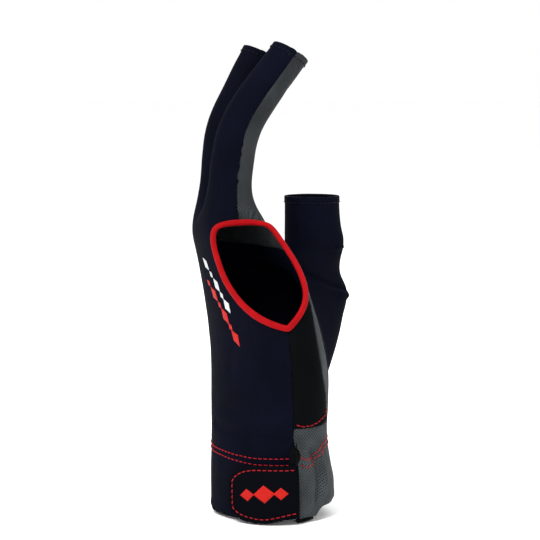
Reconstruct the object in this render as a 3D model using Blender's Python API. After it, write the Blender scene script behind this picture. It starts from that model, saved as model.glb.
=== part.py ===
"""Billiard glove for the thumb, index and middle fingers, worn on a right hand.

Metres, +Z from the wrist to the fingertips, +X out of the palm, +Y toward the thumb side.
The origin is the middle of the wrist opening. One cage of the worn form is smoothed, cut into
its cloth panels along the seams, and each panel is given the thickness of its cloth.
"""
from collections import namedtuple
from math import cos, pi, radians, sin, sqrt

import bmesh
import bpy
import numpy as np
from mathutils import Vector

# Sizes of the hand that the glove is stretched over
WRIST_THICKNESS = 0.048
HAND_BREADTH = 0.078
HAND_RISE = 0.124
PATCH_HEM_HEIGHT = 0.038
OPENING_FLOOR = 0.079
THUMB_FORK = 0.097
BALL_OF_THUMB = 0.030
THUMB_FORK_RISE = 0.004
FINGER_WEB_RISE = 0.0005

# Sizes of the stalls
FINGER_LENGTH = 0.071
FINGER_WIDTH = 0.0180
FINGER_DEPTH = 0.0186
FINGER_SPREAD = 0.0198
MIDDLE_CENTRE = 0.0092
THUMB_LENGTH = 0.0345
THUMB_WIDTH = 0.0262
THUMB_SIDE = 0.014
THUMB_FRONT = 0.0268

# Cloth and trim
CLOTH = 0.0012
SEAM_GAP = 0.0004
SLIT_GAP = 0.0010
SLIT_HEIGHT = 0.030
BINDING_WIDTH = 0.0026
BINDING_THICKNESS = 0.0024
TAPE_WIDTH = 0.0032
TAPE_THICKNESS = 0.0009
HEM_TAPE_WIDTH = 0.0016
HEM_TAPE_THICKNESS = 0.0018
HEM_TAPE_REACH = 0.013
SLIT_TAPE_RISE = 0.002
SLIT_TAPE_TURN = 0.6
SLIT_TAPE_STEPS = 10

# Closure tab on the back of the wrist
TAB_HEIGHT = 0.0225
TAB_FOOT = -0.0015
TAB_THICKNESS = 0.0016
TAB_END_ROUND = 0.0125
HOOK_THICKNESS = 0.0008
HOOK_MARGIN = 0.0035
TAB_START = 263.5
TAB_STEPS = 15
TAB_CELLS = 6
TAB_END = 206.0
TAB_BLUNTNESS = 0.45
TAB_STEP_EASE = 1.6

# Mean curve of the cuff under the tab and under the slit tape, as shares of the half sizes
TAB_CURVE = 1.12
SLIT_CURVE = 0.75

# Angles in a section are 0 out of the palm, 90 to the thumb side and 180 out of the back.
# Heights are shares of HAND_RISE, shift and thickness of WRIST_THICKNESS, breadth of
# HAND_BREADTH, and ball of BALL_OF_THUMB
Section = namedtuple("Section", "height shift thickness breadth ball")
HAND_SECTIONS = [
    Section(0.00, 0.020, 1.04, 0.770, 0.00),
    Section(0.10, 0.024, 1.05, 0.760, 0.00),
    Section(0.23, -0.004, 1.00, 0.750, 0.00),
    Section(0.31, -0.004, 1.00, 0.780, 0.06),
    Section(0.39, 0.002, 1.00, 0.840, 0.20),
    Section(0.48, 0.010, 0.95, 0.915, 0.45),
    Section(0.60, -0.037, 0.87, 0.974, 0.78),
    Section(0.70, -0.098, 0.80, 1.000, 1.00),
    Section(0.78, -0.160, 0.73, 1.000, 1.04),
    Section(0.88, -0.245, 0.65, 0.990, 1.00),
    Section(0.94, -0.300, 0.61, 0.985, 1.00),
    Section(1.00, -0.312, 0.55, 0.950, 1.00),
]

# Where the lines between the groups of cage columns run, in degrees, by share of HAND_RISE
Lines = namedtuple("Lines", "height seam back_edge split_back side_back side_front split_front"
                            " thumb_edge wedge front_edge")
COLUMN_LINES = [
    Lines(0.00, 265.0, 208.0, 165.0, 130.0, 55.0, 25.0, -3.0, -18.0, -38.0),
    Lines(0.20, 265.5, 206.0, 165.0, 130.0, 55.0, 25.0, -3.0, -17.0, -40.0),
    Lines(0.31, 264.0, 204.0, 165.0, 130.0, 55.0, 25.0, -3.0, -18.0, -44.0),
    Lines(0.39, 261.5, 202.0, 163.0, 128.0, 54.0, 25.0, -4.0, -24.0, -52.0),
    Lines(0.48, 258.5, 200.0, 160.0, 125.0, 52.0, 24.0, -5.0, -33.0, -68.0),
    Lines(0.60, 255.0, 197.0, 155.0, 122.0, 51.0, 23.0, -6.0, -48.0, -73.0),
    Lines(0.69, 254.0, 194.0, 152.0, 120.0, 50.0, 22.0, -6.0, -58.0, -67.0),
    Lines(0.78, 254.0, 190.0, 150.0, 118.0, 50.0, 22.0, -6.0, -47.0, -53.0),
    Lines(0.84, 254.0, 186.0, 149.0, 116.0, 55.0, 25.0, -4.0, -26.0, -36.0),
    Lines(0.89, 254.0, 182.5, 149.0, 115.0, 60.0, 28.0, 0.0, -15.0, -24.0),
    Lines(0.95, 254.0, 183.0, 149.0, 115.0, 63.0, 30.0, 8.0, -3.0, -9.0),
    Lines(1.00, 254.0, 185.0, 149.0, 115.0, 65.0, 31.0, 15.5, 5.2, 0.0),
]

# Rise of the opening's edge above its floor, as a share of the way up to THUMB_FORK, by the
# share of the way from the seam to the edge of the panel
Rise = namedtuple("Rise", "along back front")
OPENING_RISE = [
    Rise(0.00, 0.00, 0.00),
    Rise(0.25, 0.07, 0.24),
    Rise(0.50, 0.22, 0.48),
    Rise(0.75, 0.49, 0.73),
    Rise(1.00, 1.00, 1.00),
]

# Rows of a finger stall: forward and lift place the row's centre, as shares of FINGER_LENGTH out
# of the palm and above HAND_RISE, lean is in degrees and size is the share of the width
Stall = namedtuple("Stall", "forward lift lean size")
INDEX_ROWS = [
    Stall(-0.150, 0.120, 0, 1.02),
    Stall(-0.130, 0.260, 0, 1.03),
    Stall(-0.126, 0.400, 3, 1.02),
    Stall(-0.100, 0.540, 20, 1.02),
    Stall(-0.028, 0.675, 26, 0.99),
    Stall(0.044, 0.820, 27, 0.95),
    Stall(0.130, 0.972, 27, 0.92),
]
MIDDLE_ROWS = [
    Stall(-0.215, 0.120, 0, 1.02),
    Stall(-0.200, 0.260, 2, 1.03),
    Stall(-0.182, 0.400, 4, 1.02),
    Stall(-0.148, 0.545, 20, 1.02),
    Stall(-0.045, 0.690, 32, 0.99),
    Stall(0.070, 0.835, 33, 0.95),
    Stall(0.196, 0.985, 33, 0.92),
]

# Rows of the thumb stall, in shares of THUMB_LENGTH above THUMB_FORK and of THUMB_WIDTH
Thumb = namedtuple("Thumb", "lift forward size")
THUMB_ROWS = [
    Thumb(0.24, 0.020, 1.00),
    Thumb(0.48, 0.010, 0.99),
    Thumb(0.74, 0.000, 0.97),
    Thumb(1.00, -0.010, 0.95),
]

# Levels of the cage rows, as shares of PATCH_HEM_HEIGHT below it and of the way to
# THUMB_FORK above it
CUFF_LEVELS = [0.0, 0.26, 0.53, 0.77, 1.0]
PALM_LEVELS = [0.20, 0.42, 0.64, 0.83, 1.0]
UPPER_LEVELS = [0.27, 0.53, 0.77, 1.0]

# Cage columns in each group, from the outer seam over the back and round to the seam again
LITTLE_BACK_COLUMNS = 4
MIDDLE_BACK_COLUMNS = 3
INDEX_BACK_COLUMNS = 3
SIDE_COLUMNS = 4
INDEX_FRONT_COLUMNS = 3
THUMB_REST_COLUMNS = 3
GUSSET_COLUMNS = 2
WEDGE_COLUMNS = 1
HEEL_COLUMNS = 4
MIDDLE_FRONT_COLUMNS = THUMB_REST_COLUMNS + GUSSET_COLUMNS + WEDGE_COLUMNS
THUMB_COLUMNS = INDEX_FRONT_COLUMNS + THUMB_REST_COLUMNS

# Folds of the worn cloth: place on the form, direction, size and height, all in shares
Fold = namedtuple("Fold", "x y z radius along height")
THUMB_FOLDS = [
    Fold(1.42, 0.25, 0.930, 0.42, 0.12, 0.115),
    Fold(1.30, 0.10, 1.010, 0.62, 0.08, -0.030),
    Fold(1.42, 0.30, 1.155, 0.22, 0.08, 0.070),
]

# Colours as they look under studio light
NAVY = (0.0052, 0.0060, 0.0130)
MESH_GREY = (0.056, 0.065, 0.065)
BLACK = (0.0044, 0.0056, 0.0070)
TAB_BLACK = (0.0050, 0.0056, 0.0100)
RED = (0.510, 0.008, 0.012)

PANELS = ["back_panel", "palm_mesh", "heel_patch", "thumb_panel", "finger_mesh"]
PANEL_COLOURS = {
    "back_panel": NAVY,
    "palm_mesh": MESH_GREY,
    "heel_patch": BLACK,
    "thumb_panel": NAVY,
    "finger_mesh": MESH_GREY,
}


def clear_scene():
    for thing in list(bpy.data.objects):
        bpy.data.objects.remove(thing, do_unlink=True)


def make_material(name, colour, roughness):
    material = bpy.data.materials.new(name)
    material.use_nodes = True
    shader = material.node_tree.nodes["Principled BSDF"]
    shader.inputs["Base Color"].default_value = (*colour, 1.0)
    shader.inputs["Roughness"].default_value = roughness
    shader.inputs["Metallic"].default_value = 0.0
    return material


def read_table(table, key, column, position):
    """The smooth value of one column of a table at a position along its key column."""
    places = [getattr(row, key) for row in table]
    values = [getattr(row, column) for row in table]
    slopes = np.gradient(values, places)
    spot = min(max(position, places[0]), places[-1])
    index = min(int(np.searchsorted(places, spot, side="right")) - 1, len(places) - 2)
    width = places[index + 1] - places[index]
    t = (spot - places[index]) / width
    return float(
        values[index] * (2 * t**3 - 3 * t**2 + 1)
        + slopes[index] * width * (t**3 - 2 * t**2 + t)
        + values[index + 1] * (3 * t**2 - 2 * t**3)
        + slopes[index + 1] * width * (t**3 - t**2)
    )


def section_value(column, height):
    return read_table(HAND_SECTIONS, "height", column, height / HAND_RISE)


def line_angle(line, level):
    return read_table(COLUMN_LINES, "height", line, level / HAND_RISE)


def hand_point(angle, height, ball=0.0):
    """A point on the hand's section at this height; ball pushes it out of the palm."""
    turn = radians(angle)
    shift = section_value("shift", height) * WRIST_THICKNESS
    half_thickness = section_value("thickness", height) * WRIST_THICKNESS / 2
    half_breadth = section_value("breadth", height) * HAND_BREADTH / 2
    push = ball * section_value("ball", height) * BALL_OF_THUMB
    return Vector((shift + half_thickness * cos(turn) + push, half_breadth * sin(turn), height))


def spread(first, last, count):
    """The angles of count columns between two lines, both lines included."""
    return [first + (last - first) * step / count for step in range(count + 1)]


def column_angles(level):
    """The angles of all the cage's column lines at a level, from seam to seam."""
    seam = line_angle("seam", level)
    groups = [
        (seam, line_angle("back_edge", level), LITTLE_BACK_COLUMNS),
        (line_angle("back_edge", level), line_angle("split_back", level), MIDDLE_BACK_COLUMNS),
        (line_angle("split_back", level), line_angle("side_back", level), INDEX_BACK_COLUMNS),
        (line_angle("side_back", level), line_angle("side_front", level), SIDE_COLUMNS),
        (line_angle("side_front", level), line_angle("split_front", level), INDEX_FRONT_COLUMNS),
        (line_angle("split_front", level), line_angle("thumb_edge", level), THUMB_REST_COLUMNS),
        (line_angle("thumb_edge", level), line_angle("wedge", level), GUSSET_COLUMNS),
        (line_angle("wedge", level), line_angle("front_edge", level), WEDGE_COLUMNS),
        (line_angle("front_edge", level), seam - 360.0, HEEL_COLUMNS),
    ]
    angles = [seam]
    for first, last, count in groups:
        angles.extend(spread(first, last, count)[1:])
    return angles


def column_top(column, columns):
    """How high the cage's lower block reaches at a column: the opening's edge dips to its V."""
    way_up = THUMB_FORK - OPENING_FLOOR
    if column <= LITTLE_BACK_COLUMNS:
        rise = read_table(OPENING_RISE, "along", "back", column / LITTLE_BACK_COLUMNS)
    elif column >= columns - HEEL_COLUMNS:
        rise = read_table(OPENING_RISE, "along", "front", (columns - column) / HEEL_COLUMNS)
    else:
        rise = 1.0
    return OPENING_FLOOR + way_up * rise


def ball_share(column, first_thumb):
    """How much of the ball of the thumb a column carries."""
    step = column - first_thumb
    if step <= 0 or step >= THUMB_COLUMNS:
        return 0.0
    return sin(pi * step / THUMB_COLUMNS) ** 0.75


class Cage:
    """Quads between named corners, each quad marked with its panel."""

    def __init__(self):
        self.mesh = bmesh.new()
        self.crease = self.mesh.verts.layers.float.new("crease_vert")
        self.corners = {}

    def corner(self, key, point):
        if key not in self.corners:
            self.corners[key] = self.mesh.verts.new(point)
        return key

    def quad(self, keys, panel):
        face = self.mesh.faces.new([self.corners[key] for key in keys])
        face.material_index = PANELS.index(panel)
        face.smooth = True


def lower_block(cage):
    """The cuff and palm, from the hem up to the thumb's fork, with the V of the opening."""
    levels = [share * PATCH_HEM_HEIGHT for share in CUFF_LEVELS]
    levels += [
        PATCH_HEM_HEIGHT + share * (THUMB_FORK - PATCH_HEM_HEIGHT) for share in PALM_LEVELS
    ]
    columns = len(column_angles(0.0)) - 1
    first_thumb = LITTLE_BACK_COLUMNS + MIDDLE_BACK_COLUMNS + INDEX_BACK_COLUMNS + SIDE_COLUMNS
    for row, level in enumerate(levels):
        angles = column_angles(level)
        for column in range(columns):
            height = level
            if level > PATCH_HEM_HEIGHT:
                share = (level - PATCH_HEM_HEIGHT) / (THUMB_FORK - PATCH_HEM_HEIGHT)
                height = PATCH_HEM_HEIGHT + share * (column_top(column, columns) - PATCH_HEM_HEIGHT)
            point = hand_point(angles[column], height, ball_share(column, first_thumb))
            cage.corner(("hand", column, row), point)
    cage.corners[("hand", 0, len(levels) - 1)][cage.crease] = 1.0
    cuff_rows = len(CUFF_LEVELS) - 1
    front = LITTLE_BACK_COLUMNS + MIDDLE_BACK_COLUMNS + INDEX_BACK_COLUMNS + SIDE_COLUMNS // 2
    wedge = columns - HEEL_COLUMNS - WEDGE_COLUMNS
    for row in range(len(levels) - 1):
        for column in range(columns):
            if column < front:
                panel = "back_panel"
            elif row < cuff_rows or column == wedge:
                panel = "palm_mesh"
            elif column > wedge:
                panel = "heel_patch"
            else:
                panel = "thumb_panel"
            after = (column + 1) % columns
            cage.quad(
                [("hand", column, row), ("hand", column, row + 1),
                 ("hand", after, row + 1), ("hand", after, row)], panel)
    return len(levels) - 1


def thumb_stall(cage, top_row):
    """The thumb's tube: its outer half stands on the ball, its inner half on the fork."""
    first = LITTLE_BACK_COLUMNS + MIDDLE_BACK_COLUMNS + INDEX_BACK_COLUMNS + SIDE_COLUMNS
    angles = column_angles(THUMB_FORK)
    ring = [("hand", first + step, top_row) for step in range(THUMB_COLUMNS + 1)]
    for step in range(THUMB_COLUMNS - 1, 0, -1):
        point = hand_point(angles[first + step], THUMB_FORK)
        point.z += THUMB_FORK_RISE * sin(pi * step / THUMB_COLUMNS)
        ring.append(cage.corner(("fork", step), point))
    count = len(ring)
    below = ring
    for number, row in enumerate(THUMB_ROWS):
        above = []
        for step in range(count):
            turn = pi / 2 - 2 * pi * step / count
            radius = THUMB_WIDTH * row.size / 2
            point = Vector((
                THUMB_FRONT + row.forward * THUMB_WIDTH + radius * cos(turn),
                THUMB_SIDE + radius * sin(turn),
                THUMB_FORK + row.lift * THUMB_LENGTH,
            ))
            above.append(cage.corner(("thumb", number, step), point))
        for step in range(count):
            after = (step + 1) % count
            cage.quad([below[step], above[step], above[after], below[after]], "thumb_panel")
        below = above


def upper_block(cage, top_row):
    """The knuckles above the thumb's fork, open toward the ring and little fingers."""
    first = LITTLE_BACK_COLUMNS
    first_thumb = first + MIDDLE_BACK_COLUMNS + INDEX_BACK_COLUMNS + SIDE_COLUMNS
    last = first_thumb + INDEX_FRONT_COLUMNS + MIDDLE_FRONT_COLUMNS
    below = []
    for column in range(first, last + 1):
        step = column - first_thumb
        inside = 0 < step < THUMB_COLUMNS
        below.append(("fork", step) if inside else ("hand", column, top_row))
    front = MIDDLE_BACK_COLUMNS + INDEX_BACK_COLUMNS + SIDE_COLUMNS // 2
    for number, share in enumerate(UPPER_LEVELS):
        level = THUMB_FORK + share * (HAND_RISE - THUMB_FORK)
        angles = column_angles(level)
        above = []
        for column in range(first, last + 1):
            above.append(cage.corner(("upper", column, number), hand_point(angles[column], level)))
        for step in range(len(below) - 1):
            if step < front:
                panel = "back_panel"
            else:
                panel = "thumb_panel" if number < 2 else "finger_mesh"
            cage.quad([below[step], above[step], above[step + 1], below[step + 1]], panel)
        below = above
    return below


def finger_ring(centre, row, angles, prefix, number, cage):
    """One ring of a finger stall, leaning toward the palm."""
    lean = radians(row.lean)
    palmward = Vector((cos(lean), 0.0, -sin(lean)))
    ring = []
    for step, angle in enumerate(angles):
        turn = radians(angle)
        point = Vector((
            centre[0] + row.forward * FINGER_LENGTH,
            centre[1],
            HAND_RISE + row.lift * FINGER_LENGTH,
        ))
        point += palmward * (row.size * FINGER_DEPTH / 2 * cos(turn))
        point.y += row.size * FINGER_WIDTH / 2 * sin(turn)
        ring.append(cage.corner((prefix, number, step), point))
    return ring


def finger_stall(cage, prefix, base, angles, rows, side, back_steps):
    """A finger's tube on its base ring; back_steps are the ring's steps on the back."""
    below = base
    for number, row in enumerate(rows):
        above = finger_ring((0.0, side), row, angles, prefix, number, cage)
        for step in range(len(base)):
            after = (step + 1) % len(base)
            panel = "back_panel" if step in back_steps else "finger_mesh"
            cage.quad([below[step], above[step], above[after], below[after]], panel)
        below = above


def finger_stalls(cage, knuckles):
    """The index and middle stalls, which share the web between them."""
    split_back = MIDDLE_BACK_COLUMNS
    split_front = MIDDLE_BACK_COLUMNS + INDEX_BACK_COLUMNS + SIDE_COLUMNS + INDEX_FRONT_COLUMNS
    middle_back = knuckles[:split_back + 1]
    middle_front = knuckles[split_front:]
    index_part = knuckles[split_back:split_front + 1]

    def middle_of(first, second):
        point = (cage.corners[first].co + cage.corners[second].co) / 2
        point.z += FINGER_WEB_RISE
        return point

    web = cage.corner(("web", 0), middle_of(knuckles[split_back], knuckles[split_front]))
    edge = cage.corner(("web", 1), middle_of(knuckles[0], knuckles[-1]))

    middle_base = middle_back + [web] + middle_front + [edge]
    middle_angles = spread(225.0, 135.0, MIDDLE_BACK_COLUMNS) + [90.0]
    middle_angles += spread(45.0, -45.0, MIDDLE_FRONT_COLUMNS) + [-90.0]
    back = set(range(MIDDLE_BACK_COLUMNS + 1)) | {len(middle_base) - 1}
    finger_stall(cage, "middle", middle_base, middle_angles, MIDDLE_ROWS, MIDDLE_CENTRE, back)

    index_base = index_part + [web]
    index_angles = spread(225.0, 135.0, INDEX_BACK_COLUMNS) + spread(135.0, 45.0, SIDE_COLUMNS)[1:]
    index_angles += spread(45.0, -45.0, INDEX_FRONT_COLUMNS)[1:] + [-90.0]
    back = set(range(INDEX_BACK_COLUMNS + SIDE_COLUMNS // 2)) | {len(index_base) - 1}
    side = MIDDLE_CENTRE + FINGER_SPREAD
    finger_stall(cage, "index", index_base, index_angles, INDEX_ROWS, side, back)


def fold_cloth(mesh):
    """Raise and sink the main folds of the stretched cloth about the thumb."""
    mesh.normal_update()
    moves = []
    for vert in mesh.verts:
        push = 0.0
        for fold in THUMB_FOLDS:
            across = Vector((
                vert.co.x - fold.x * THUMB_FRONT,
                vert.co.y - fold.y * THUMB_WIDTH,
                0.0,
            )).length / (fold.radius * THUMB_WIDTH)
            upward = (vert.co.z - fold.z * THUMB_FORK) / (fold.along * THUMB_WIDTH * 2)
            push += fold.height * THUMB_WIDTH * np.exp(-across**2 - upward**2)
        moves.append(push)
    for vert, push in zip(mesh.verts, moves):
        vert.co += vert.normal * float(push)


def smooth_form():
    """The whole worn form as one smooth surface, its faces marked with their panels."""
    cage = Cage()
    top_row = lower_block(cage)
    thumb_stall(cage, top_row)
    knuckles = upper_block(cage, top_row)
    finger_stalls(cage, knuckles)
    cage_mesh = bpy.data.meshes.new("cage")
    cage.mesh.to_mesh(cage_mesh)
    cage.mesh.free()
    cage_object = bpy.data.objects.new("cage", cage_mesh)
    bpy.context.collection.objects.link(cage_object)
    smoothing = cage_object.modifiers.new("smoothing", "SUBSURF")
    smoothing.levels = 1
    smoothing.render_levels = 1
    depsgraph = bpy.context.evaluated_depsgraph_get()
    form = bmesh.new()
    form.from_object(cage_object, depsgraph)
    bpy.data.objects.remove(cage_object, do_unlink=True)
    fold_cloth(form)
    form.normal_update()
    form.verts.ensure_lookup_table()
    form.faces.ensure_lookup_table()
    return form


def edge_kind(edge):
    """What an edge is to the panels beside it: inside, seam, slit, hem or opening."""
    if len(edge.link_faces) == 2:
        first, second = edge.link_faces
        on_slit = first.material_index != second.material_index and is_outer_seam(edge)
        if on_slit and max(vert.co.z for vert in edge.verts) < SLIT_HEIGHT:
            return "slit"
        return "inside" if first.material_index == second.material_index else "seam"
    low = max(vert.co.z for vert in edge.verts) < OPENING_FLOOR / 2
    return "hem" if low or is_stall_mouth(edge) else "opening"


def is_outer_seam(edge):
    return all(vert.co.y < -HAND_BREADTH / 4 and vert.co.x < 0 for vert in edge.verts)


def is_stall_mouth(edge):
    """A free edge at the open end of a stall, well above or in front of the opening."""
    middle = (edge.verts[0].co + edge.verts[1].co) / 2
    finger_mouth = middle.z > HAND_RISE + FINGER_LENGTH / 2
    thumb_mouth = middle.x > THUMB_FRONT - THUMB_WIDTH and middle.z > THUMB_FORK + THUMB_LENGTH * 0.9
    return finger_mouth or thumb_mouth


PULL_IN = {
    "seam": SEAM_GAP / 2,
    "slit": SLIT_GAP / 2,
    "hem": 0.0,
    "opening": 0.0,
}


def inward(edge, face):
    """The direction from an edge into its face, along the cloth."""
    along = (edge.verts[1].co - edge.verts[0].co).normalized()
    across = face.normal.cross(along).normalized()
    toward = face.calc_center_median() - (edge.verts[0].co + edge.verts[1].co) / 2
    return across if across.dot(toward) > 0 else -across


def shift_from_edges(normal, borders):
    """The move along the cloth that draws a corner in from all the borders that meet there."""
    if not borders:
        return Vector((0.0, 0.0, 0.0))
    first, first_pull = borders[0]
    second, second_pull = borders[-1]
    first = (first - normal * first.dot(normal)).normalized()
    second = (second - normal * second.dot(normal)).normalized()
    cosine = first.dot(second)
    if cosine > 0.9:
        middle = (first + second).normalized()
        return middle * ((first_pull + second_pull) / 2)
    if cosine < -0.9:
        return Vector((0.0, 0.0, 0.0))
    scale = 1.0 - cosine * cosine
    return first * ((first_pull - cosine * second_pull) / scale) + second * (
        (second_pull - cosine * first_pull) / scale)


def finish_object(name, mesh, material):
    """A bmesh made an object of its own, with its faces out and its round parts smooth."""
    bmesh.ops.recalc_face_normals(mesh, faces=mesh.faces)
    if mesh.calc_volume(signed=True) < 0:
        bmesh.ops.reverse_faces(mesh, faces=mesh.faces)
    data = bpy.data.meshes.new(name)
    mesh.to_mesh(data)
    mesh.free()
    data.shade_smooth()
    data.set_sharp_from_angle(angle=radians(50))
    data.materials.append(material)
    thing = bpy.data.objects.new(name, data)
    bpy.context.collection.objects.link(thing)
    return thing


def make_panel(form, name):
    """One cloth panel cut from the form along its seams and given its thickness."""
    label = PANELS.index(name)
    faces = [face for face in form.faces if face.material_index == label]
    borders = {}
    for face in faces:
        for edge in face.edges:
            kind = edge_kind(edge)
            inside = [other for other in edge.link_faces if other.material_index == label]
            if len(inside) == 2:
                continue
            for vert in edge.verts:
                borders.setdefault(vert.index, []).append((inward(edge, face), PULL_IN[kind]))
    panel = bmesh.new()
    outer = {}
    inner = {}
    for face in faces:
        for vert in face.verts:
            if vert.index in outer:
                continue
            shift = shift_from_edges(vert.normal, borders.get(vert.index, []))
            outer[vert.index] = panel.verts.new(vert.co + shift)
            inner[vert.index] = panel.verts.new(vert.co + shift - vert.normal * CLOTH)
    for face in faces:
        panel.faces.new([outer[vert.index] for vert in face.verts])
        panel.faces.new([inner[vert.index] for vert in reversed(face.verts)])
        for loop in face.loops:
            inside = [f for f in loop.edge.link_faces if f.material_index == label]
            if len(inside) == 2:
                continue
            start = loop.vert.index
            end = loop.link_loop_next.vert.index
            panel.faces.new([outer[end], outer[start], inner[start], inner[end]])
    colour = make_material(name + "_cloth", PANEL_COLOURS[name], 0.85)
    return finish_object(name, panel, colour)


def walk_edges(edges):
    """Edges that meet end to end, put in order as a list of their corners."""
    neighbours = {}
    for edge in edges:
        first, second = edge.verts
        neighbours.setdefault(first, []).append(second)
        neighbours.setdefault(second, []).append(first)
    ends = [vert for vert, near in neighbours.items() if len(near) == 1]
    start = ends[0] if ends else next(iter(neighbours))
    path = [start]
    before = None
    while True:
        onward = [vert for vert in neighbours[path[-1]] if vert is not before]
        if not onward or onward[0] is start:
            break
        before = path[-1]
        path.append(onward[0])
    return path, not ends


def border_frames(path, gap, width):
    """For each corner of a border: where a band starts, the cloth's normal and the band's width."""
    frames = []
    for vert in path:
        ways = [
            inward(edge, edge.link_faces[0])
            for edge in vert.link_edges if len(edge.link_faces) == 1
        ]
        start = vert.co + shift_from_edges(vert.normal, [(way, -gap) for way in ways])
        across = shift_from_edges(vert.normal, [(way, -width) for way in ways])
        frames.append((start, vert.normal.copy(), across))
    return frames


def sweep(name, frames, outline, closed, material):
    """A band run along frames; outline gives its corners as (share across, height) pairs."""
    band = bmesh.new()
    rings = []
    for place, normal, across in frames:
        rings.append([
            band.verts.new(place + across * share + normal * height) for share, height in outline
        ])
    count = len(rings)
    steps = count if closed else count - 1
    size = len(outline)
    for step in range(steps):
        first = rings[step]
        second = rings[(step + 1) % count]
        for corner in range(size):
            after = (corner + 1) % size
            band.faces.new([first[corner], first[after], second[after], second[corner]])
    if not closed:
        band.faces.new(list(reversed(rings[0])))
        band.faces.new(rings[-1])
    return finish_object(name, band, material)


def rounded_outline(thickness, middle):
    """A flat band's section with rounded edges, from share 0 at the edge to 1 inside."""
    half = thickness / 2
    corner = 0.22
    return [
        (0.0, middle - half * 0.45), (0.0, middle + half * 0.45),
        (corner, middle + half), (1 - corner, middle + half),
        (1.0, middle + half * 0.45), (1.0, middle - half * 0.45),
        (1 - corner, middle - half), (corner, middle - half),
    ]


def make_binding(form):
    """The edge binding round the opening for the ring and little fingers."""
    edges = [edge for edge in form.edges if edge_kind(edge) == "opening"]
    path, closed = walk_edges(edges)
    frames = border_frames(path, SEAM_GAP, BINDING_WIDTH)
    outline = rounded_outline(BINDING_THICKNESS, -CLOTH / 2)
    return sweep("opening_binding", frames, outline, closed, make_material("binding", RED, 0.7))


def make_hem_tape(form):
    """The tape under the hem of the wrist mesh, beside the slit."""
    path = []
    for edge in form.edges:
        if len(edge.link_faces) != 1 or edge_kind(edge) != "hem":
            continue
        middle = (edge.verts[0].co + edge.verts[1].co) / 2
        beside_slit = middle.y < 0 and -HEM_TAPE_THICKNESS < middle.x < HEM_TAPE_REACH
        if middle.z < PATCH_HEM_HEIGHT and beside_slit:
            path.append(edge)
    corners, closed = walk_edges(path)
    frames = []
    for vert in corners:
        down = Vector((0.0, 0.0, -HEM_TAPE_WIDTH))
        start = vert.co + Vector((0.0, 0.0, -SEAM_GAP))
        frames.append((start, vert.normal.copy(), down))
    outline = rounded_outline(HEM_TAPE_THICKNESS, -CLOTH / 2)
    return sweep("hem_tape", frames, outline, closed, make_material("hem_tape", BLACK, 0.8))


def cuff_point(angle, height, offset):
    """A point held off the cuff's surface by offset."""
    step = 0.5
    along = hand_point(angle + step, height) - hand_point(angle - step, height)
    normal = along.cross(Vector((0.0, 0.0, 1.0))).normalized()
    return hand_point(angle, height) + normal * offset


def flat_piece(name, rows, material):
    """A closed piece from rows of pairs of points, the lower face first."""
    piece = bmesh.new()
    lower = [[piece.verts.new(pair[0]) for pair in row] for row in rows]
    upper = [[piece.verts.new(pair[1]) for pair in row] for row in rows]
    across = len(rows[0]) - 1
    for step in range(len(rows) - 1):
        for cell in range(across):
            for sheet in (lower, upper):
                piece.faces.new([
                    sheet[step][cell], sheet[step][cell + 1],
                    sheet[step + 1][cell + 1], sheet[step + 1][cell]])
        for cell in (0, across):
            piece.faces.new([
                lower[step][cell], lower[step + 1][cell], upper[step + 1][cell], upper[step][cell]])
    for step in (0, len(rows) - 1):
        for cell in range(across):
            piece.faces.new([
                lower[step][cell], lower[step][cell + 1], upper[step][cell + 1], upper[step][cell]])
    return finish_object(name, piece, material)


def tab_rows(margin, lift, thickness):
    """Rows of a tab with one rounded end, drawn in by margin all round."""
    radius = WRIST_THICKNESS / 2 * TAB_CURVE
    length = radians(TAB_START - TAB_END) * radius
    rows = []
    for step in range(TAB_STEPS + 1):
        share = 1 - (1 - step / TAB_STEPS) ** TAB_STEP_EASE
        place = margin + (length - 2 * margin) * (1 - share)
        angle = TAB_START - (TAB_START - TAB_END) * place / length
        to_end = length - margin - place
        half = TAB_HEIGHT / 2 - margin
        round_end = TAB_END_ROUND - margin
        if to_end < round_end:
            bend = 1 - to_end / round_end
            half *= TAB_BLUNTNESS + (1 - TAB_BLUNTNESS) * sqrt(max(1 - bend * bend, 0.0))
        middle = TAB_FOOT + TAB_HEIGHT / 2
        row = []
        for cell in range(TAB_CELLS + 1):
            height = middle + half * (2 * cell / TAB_CELLS - 1)
            near = cuff_point(angle, height, lift)
            far = cuff_point(angle, height, lift + thickness)
            row.append((near, far))
        rows.append(row)
    return rows


def make_tab():
    """The closure tab over the back of the wrist and the hook patch under it."""
    hook = tab_rows(HOOK_MARGIN, SEAM_GAP, HOOK_THICKNESS)
    flat_piece("hook_pad", hook, make_material("hook", BLACK, 0.9))
    lift = HOOK_THICKNESS + 2 * SEAM_GAP
    tab = tab_rows(0.0, lift, TAB_THICKNESS)
    flat_piece("closure_tab", tab, make_material("tab", TAB_BLACK, 0.75))


def make_slit_tape():
    """The tape along the edge of the wrist slit, from the hem to the slit's top."""
    frames = []
    radius = HAND_BREADTH / 2 * SLIT_CURVE
    half = TAPE_WIDTH / 2 / radius * 180 / pi
    for step in range(SLIT_TAPE_STEPS + 1):
        height = (SLIT_HEIGHT + SLIT_TAPE_RISE) * step / SLIT_TAPE_STEPS
        middle = line_angle("seam", height) + half + SLIT_TAPE_TURN
        start = cuff_point(middle - half, height, 0.0)
        end = cuff_point(middle + half, height, 0.0)
        normal = (cuff_point(middle, height, 1.0) - cuff_point(middle, height, 0.0)).normalized()
        frames.append((start, normal, end - start))
    outline = rounded_outline(TAPE_THICKNESS, SEAM_GAP + TAPE_THICKNESS / 2)
    sweep("slit_tape", frames, outline, False, make_material("slit_tape", BLACK, 0.8))


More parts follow.
